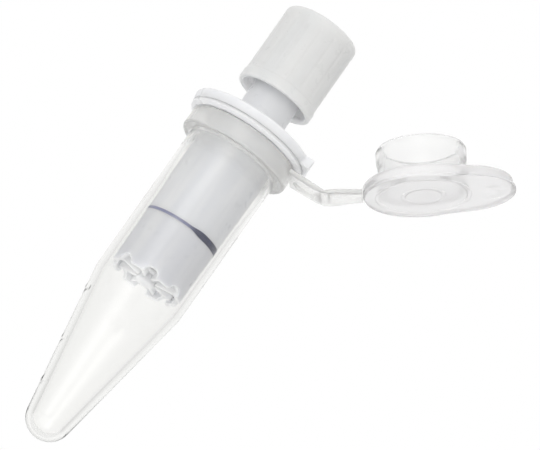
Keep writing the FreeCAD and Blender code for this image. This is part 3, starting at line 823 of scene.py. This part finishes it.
def column_body():
    """Filter cup with its flange, floor, outlet boss and crown of petals."""
    corners = [(0, BOSS_LOW_Z, 0), (BOSS_RADIUS, BOSS_LOW_Z, 0.4),
               (BOSS_RADIUS, FLOOR_LOW_Z, 0.1), (SKIRT_BORE, FLOOR_LOW_Z, FLOOR_ROUND),
               (SKIRT_BORE, COLUMN_FOOT_Z, SKIRT_ROUND),
               (COLUMN_FOOT_RADIUS, COLUMN_FOOT_Z, SKIRT_ROUND),
               (COLUMN_TOP_RADIUS, FLANGE_LOW_Z, 0.1), (FLANGE_FOOT_RADIUS, FLANGE_LOW_Z, 0.05),
               (FLANGE_RADIUS, FLANGE_LOW_Z + FLANGE_BEVEL, 0.1), (FLANGE_RADIUS, FLANGE_TOP_Z, 0),
               (CHAMBER_TOP_RADIUS, FLANGE_TOP_Z, 0.15), (CHAMBER_FOOT_RADIUS, FLOOR_TOP_Z, 0.2),
               (0, FLOOR_TOP_Z, 0)]
    column = spin("filter_column", outline(corners, 0.25), column_shape, turns=COLUMN_TURNS)
    cut_windows(column)
    finish_piece(column, "column", "milky_polypropylene", COLUMN, "column_body")
    for material in (CAP, PAINTED_SHADE_BELOW_RING):
        column.data.materials.append(material)
    # Painted light and shade on one moulding: the flange above the rim and the inside of the crown
    # take the lighter cap colour, painted light that lifts the shade in the crown's hollow; the
    # wall below the ring takes a darker copy of the column's colour, painted shade.
    for polygon in column.data.polygons:
        height = polygon.center.z / MM
        radius = math.hypot(polygon.center.x, polygon.center.y) / MM
        flange = height > FLANGE_LOW_Z - NEAR and radius > RIM_RADIUS - COLOUR_MARGIN
        in_crown = height < FLOOR_LOW_Z + COLOUR_MARGIN and radius < COLUMN_FOOT_RADIUS - CROWN_WALL
        if flange or in_crown:
            polygon.material_index = 1
        elif height < RING_Z:
            polygon.material_index = 2


def ring_shape(r, z, angle):
    """Make the band taller on the hinge side than on the other."""
    side = smooth(*RING_BOLD_COSINES, math.cos(angle - math.radians(RING_BOLD_ANGLE)))
    share = RING_THIN_SHARE + RING_GAIN * side
    return r, RING_Z + (z - RING_Z) * share


def identification_ring():
    """Band round the column."""
    half = RING_HEIGHT / 2
    corners = [(RING_INNER, RING_Z - half, 0.02), (RING_OUTER, RING_Z - half, 0.03),
               (RING_OUTER, RING_Z + half, 0.03), (RING_INNER, RING_Z + half, 0.02)]
    ring = spin("colour_band", outline(corners, 0.1, closed=True), ring_shape, closed=True)
    finish_piece(ring, "column", "blue_ring", BLUE, "identification_ring")


def filter_disc(name, node, material, slot):
    """Plain disc with softened edges, just inside its CAD node."""
    low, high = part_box(node)
    radius = high.x / MM - DISC_MARGIN
    low_z, high_z = low.z / MM + DISC_MARGIN, high.z / MM - DISC_MARGIN
    corners = [(0, low_z, 0), (radius, low_z, DISC_ROUND), (radius, high_z, DISC_ROUND),
               (0, high_z, 0)]
    disc = spin(name, outline(corners, 0.3), turns=DISC_TURNS)
    finish_piece(disc, "column", slot, material, node)


def plate_radius(angle):
    """Edge of the cap's disc with its squared tab."""
    away = abs(angle_from(angle, math.radians(COLUMN_TURN)))
    tab_corner = math.atan2(CAP_TAB_HALF_WIDTH, CAP_TAB_REACH)
    if away < tab_corner:
        return CAP_TAB_REACH / math.cos(away)
    side = CAP_TAB_HALF_WIDTH / max(0.001, math.sin(away)) if away < math.pi / 2 else 0
    return max(CAP_TOP_RADIUS, side)


def cap_shape(r, z, angle):
    """Squared tab on the disc and two lugs at the neck's mouth."""
    if CAP_LOW_Z - 0.01 < z < CAP_TOP_Z + 0.01 and r > CAP_STRETCH_START:
        stretch = plate_radius(angle) - CAP_TOP_RADIUS
        r += stretch * smooth(CAP_STRETCH_START, CAP_STRETCH_END, r)
    if r > NECK_RADIUS - LUG_ROOT and z > LUG_ZONE_Z:
        for side in (0, math.pi):
            away = angle_from(angle, math.radians(COLUMN_TURN) + side)
            middle = LUG_Z + away * THREAD_LEAD / math.tau
            tall = 1 - smooth(*LUG_HALF_HEIGHT, abs(z - middle))
            wide = 1 - smooth(*LUG_HALF_WIDTH, abs(away) * LUG_REACH)
            r += (LUG_REACH - NECK_RADIUS) * tall * wide
    return r, z


def column_cap():
    """Cap with its sealing plug below and its Luer neck above."""
    corners = [(CHANNEL_RADIUS, CAP_LOW_Z, 0.1), (CAP_PLUG_BORE, CAP_LOW_Z, 0.2),
               (CAP_PLUG_BORE, CAP_PLUG_LOW_Z, 0.1),
               (CAP_PLUG_RADIUS - CAP_PLUG_CHAMFER_WIDTH, CAP_PLUG_LOW_Z, 0.1),
               (CAP_PLUG_RADIUS, CAP_PLUG_LOW_Z + CAP_PLUG_CHAMFER, 0.3),
               (CAP_PLUG_RADIUS, CAP_LOW_Z, 0.05),
               (CAP_FOOT_RADIUS, CAP_LOW_Z, 0), (CAP_TOP_RADIUS, CAP_TOP_Z, 0.25),
               (NECK_RADIUS, CAP_TOP_Z, 0.4), (NECK_RADIUS, NECK_TOP_Z, 0.12),
               (LUER_MOUTH_RADIUS, NECK_TOP_Z, 0.12), (LUER_FOOT_RADIUS, LUER_FOOT_Z, 0.1),
               (CHANNEL_RADIUS, LUER_FOOT_Z, 0.1)]
    cap = spin("column_cap_moulding", outline(corners, 0.15, closed=True), cap_shape, closed=True)
    finish_piece(cap, "cap", "milky_polypropylene", CAP, "column_cap")


def luer_plug():
    """Tapered male plug with a stem, a head and a cored middle."""
    low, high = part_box("luer_plug")
    tip_z, top_z = low.z / MM, high.z / MM
    corners = [(0, tip_z, 0), (LUER_TIP_RADIUS, tip_z, 0.12),
               (TAPER_LOW_RADIUS, tip_z + LUER_TIP_CHAMFER, 0.2),
               (TAPER_TOP_RADIUS, STEM_LOW_Z, 0.05),
               (STEM_RADIUS, STEM_LOW_Z, 0.1), (STEM_RADIUS, HEAD_LOW_Z, 0.1),
               (HEAD_RADIUS, HEAD_LOW_Z, 0.12), (HEAD_RADIUS, top_z, 0.15),
               (CORE_RADIUS, top_z, 0.1), (CORE_RADIUS, CORE_FOOT_Z, 0.3), (0, CORE_FOOT_Z, 0)]
    plug = spin("luer_closure_plug", outline(corners, 0.3), turns=LUER_PLUG_TURNS)
    finish_piece(plug, "plug", "white_polypropylene", WHITE, "luer_plug")


def faded(low, high, fade, z):
    """1 between two heights, easing to 0 at both."""
    return smooth(low, low + fade, z) * (1 - smooth(high - fade, high, z))


def collar_shape(r, z, angle):
    """Shallow grip flutes outside and the double thread inside."""
    turn = angle - math.radians(COLUMN_TURN)
    if r > COLLAR_RADIUS - COLLAR_SKIN:
        ends = faded(FLUTE_LOW_Z, FLUTE_TOP_Z, FLUTE_FADE, z)
        groove = max(0.0, math.cos(turn * FLUTE_COUNT)) ** 3
        r -= FLUTE_DEPTH * ends * groove
    elif abs(r - COLLAR_BORE) < NEAR and THREAD_LOW_Z < z < THREAD_TOP_Z:
        phase = (z - LUG_Z) / THREAD_LEAD * THREAD_STARTS - turn * THREAD_STARTS / math.tau + 0.5
        away = abs(phase - round(phase)) * THREAD_LEAD / THREAD_STARTS
        ends = faded(THREAD_LOW_Z, THREAD_TOP_Z, THREAD_FADE, z)
        r -= THREAD_HEIGHT * ends * (1 - smooth(THREAD_CREST_HALF, THREAD_FOOT_HALF, away))
    return r, z


def luer_collar():
    """Collar from its ceiling down the threaded bore and up the outside."""
    ring, ceiling, bore = PRESS_RING_RADII, COLLAR_CEILING_Z, COLLAR_BORE
    corners = [(0, ceiling, 0), (ring[0], ceiling, 0.05), (ring[1], PRESS_RING_LOW_Z, 0.1),
               (ring[2], PRESS_RING_LOW_Z, 0.1), (ring[3], ceiling, 0.05), (bore, ceiling, 0.1),
               (bore, LEDGE_TOP_Z, 0.05), (LEDGE_RADIUS, LEDGE_TOP_Z, 0.05),
               (LEDGE_RADIUS, LEDGE_LOW_Z, 0.05), (bore, LEDGE_LOW_Z, 0.05),
               (bore, COLLAR_LOW_Z, 0.2), (COLLAR_BEAD_RADIUS, COLLAR_LOW_Z, 0.25),
               (COLLAR_BEAD_RADIUS, COLLAR_BEAD_TOP_Z, 0.3),
               (COLLAR_RADIUS, COLLAR_BEAD_TOP_Z + COLLAR_BEAD_BLEND, 0.3),
               (COLLAR_RADIUS, COLLAR_TOP_Z, 0.65), (0, COLLAR_TOP_Z, 0)]
    collar = spin("luer_collar_moulding", outline(corners, 0.12), collar_shape)
    finish_piece(collar, "collar", "white_polypropylene", WHITE, "luer_collar")
    collar.data.materials.append(PAINTED_LIGHT_BORE)
    # Painted light: faces inside the bore, below the thread's top, take the lighter bore colour.
    for polygon in collar.data.polygons:
        x, y, z = polygon.center
        in_bore = math.hypot(x, y) < (COLLAR_BORE + BORE_MARGIN) * MM
        polygon.material_index = int(in_bore and z < THREAD_TOP_Z * MM)


def direction(azimuth, elevation):
    """Unit vector away from the object, angles in degrees. Azimuth 0 is in front, toward -Y."""
    azimuth, elevation = math.radians(azimuth), math.radians(elevation)
    flat = math.cos(elevation)
    return Vector((math.sin(azimuth) * flat, -math.cos(azimuth) * flat, math.sin(elevation)))


def add_camera():
    """Camera below the rim and turned so that the tube leans."""
    azimuth, roll = math.radians(CAMERA_AZIMUTH), math.radians(CAMERA_ROLL)
    back = direction(CAMERA_AZIMUTH, CAMERA_ELEVATION)
    level = Vector((math.cos(azimuth), math.sin(azimuth), 0))
    upright = back.cross(level)
    right = level * math.cos(roll) + upright * math.sin(roll)
    up = upright * math.cos(roll) - level * math.sin(roll)
    camera = bpy.data.cameras.new("camera")
    camera.lens = LENS
    camera.clip_start = 0.01
    camera.clip_end = 10
    holder = bpy.data.objects.new("camera", camera)
    turn = Matrix((right, up, back)).transposed().to_4x4()
    place = Vector(CAMERA_TARGET) * MM + back * CAMERA_DISTANCE
    holder.matrix_world = Matrix.Translation(place) @ turn
    bpy.context.scene.collection.objects.link(holder)
    bpy.context.scene.camera = holder


def add_floor():
    """Pale sweep well below the tube."""
    low, _ = cad_box
    half, z = FLOOR_SIZE / 2, low.z - FLOOR_DROP
    corners = [(-half, -half, z), (half, -half, z), (half, half, z), (-half, half, z)]
    mesh = bpy.data.meshes.new("floor")
    mesh.from_pydata(corners, [], [(0, 1, 2, 3)])
    floor = bpy.data.objects.new("floor", mesh)
    mesh.materials.append(stage_material("pale_floor", (0.96, 0.96, 0.96)))
    bpy.context.scene.collection.objects.link(floor)


def add_softbox(name, azimuth, elevation, distance, width, height, power, colour):
    """Area light aimed at the object, its size and distance in metres and its power in watts."""
    back = direction(azimuth, elevation)
    data = bpy.data.lights.new(name, "AREA")
    data.shape = "RECTANGLE"
    data.size = width
    data.size_y = height
    data.energy = power
    data.color = colour
    light = bpy.data.objects.new(name, data)
    light.matrix_world = (Matrix.Translation(back * distance)
                          @ back.to_track_quat("Z", "Y").to_matrix().to_4x4())
    bpy.context.scene.collection.objects.link(light)


def add_world():
    """White backdrop for the camera; for everything else a pale room with a soft strip of light."""
    world = bpy.data.worlds.new("studio")
    bpy.context.scene.world = world
    world.use_nodes = True
    tree = world.node_tree
    nodes, links = tree.nodes, tree.links
    nodes.clear()

    def calculate(operation, first, second):
        node = nodes.new("ShaderNodeMath")
        node.operation = operation
        for socket, value in zip(node.inputs, (first, second)):
            if isinstance(value, float):
                socket.default_value = value
            else:
                links.new(value, socket)
        return node.outputs[0]

    def eased(value, start, end, low, high):
        node = nodes.new("ShaderNodeMapRange")
        node.interpolation_type = "SMOOTHSTEP"
        ends = {"From Min": start, "From Max": end, "To Min": low, "To Max": high}
        for name, number in ends.items():
            node.inputs[name].default_value = number
        links.new(value, node.inputs["Value"])
        return node.outputs["Result"]

    place = nodes.new("ShaderNodeTexCoord")
    mapping = nodes.new("ShaderNodeMapping")
    mapping.inputs["Rotation"].default_value = (0, 0, -math.radians(CAMERA_AZIMUTH + 90))
    radial = nodes.new("ShaderNodeTexGradient")
    radial.gradient_type = "RADIAL"
    links.new(place.outputs["Generated"], mapping.inputs["Vector"])
    links.new(mapping.outputs["Vector"], radial.inputs["Vector"])
    around = radial.outputs["Fac"]
    wave = calculate("COSINE", calculate("MULTIPLY", around, 2 * math.tau), 0.0)
    level = eased(wave, -1.0, 1.0, ROOM_LOW, ROOM_HIGH)
    strip = calculate("MULTIPLY", eased(around, STRIP_START, STRIP_PEAK, 0.0, STRIP_GLOW),
                      eased(around, STRIP_PEAK, STRIP_END, 1.0, 0.0))
    room = nodes.new("ShaderNodeBackground")
    room.inputs["Color"].default_value = (1.0, 1.0, 0.995, 1)
    links.new(calculate("ADD", level, strip), room.inputs["Strength"])
    backdrop = nodes.new("ShaderNodeBackground")
    backdrop.inputs["Color"].default_value = (1, 1, 1, 1)
    path = nodes.new("ShaderNodeLightPath")
    mix = nodes.new("ShaderNodeMixShader")
    links.new(path.outputs["Is Camera Ray"], mix.inputs["Fac"])
    links.new(room.outputs["Background"], mix.inputs[1])
    links.new(backdrop.outputs["Background"], mix.inputs[2])
    output = nodes.new("ShaderNodeOutputWorld")
    links.new(mix.outputs["Shader"], output.inputs["Surface"])


def set_look():
    """Plain colours and enough bounces for plastic inside plastic."""
    scene = bpy.context.scene
    scene.view_settings.view_transform = "Standard"
    scene.cycles.max_bounces = 32
    scene.cycles.transmission_bounces = 28
    scene.cycles.transparent_max_bounces = 16
    scene.cycles.blur_glossy = 0.0
    scene.cycles.caustics_refractive = True
    scene.cycles.caustics_reflective = True


collection_tube()
tube_lid()
hinge_strap()
column_body()
identification_ring()
filter_disc("lower_filter_disc", "lower_frit", FRIT, "porous_frit")
filter_disc("packed_bed", "sorbent_bed", SORBENT, "sorbent")
filter_disc("upper_filter_disc", "upper_frit", FRIT, "porous_frit")
column_cap()
luer_plug()
luer_collar()

add_camera()
add_floor()
add_world()
add_softbox("left_softbox", CAMERA_AZIMUTH - 14, 18, distance=0.7, width=0.5, height=0.7,
            power=0.15, colour=(1.0, 0.98, 0.95))
add_softbox("lower_softbox", CAMERA_AZIMUTH - 10, -55, distance=0.25, width=0.3, height=0.3,
            power=0.14, colour=(1.0, 1.0, 0.99))
set_look()
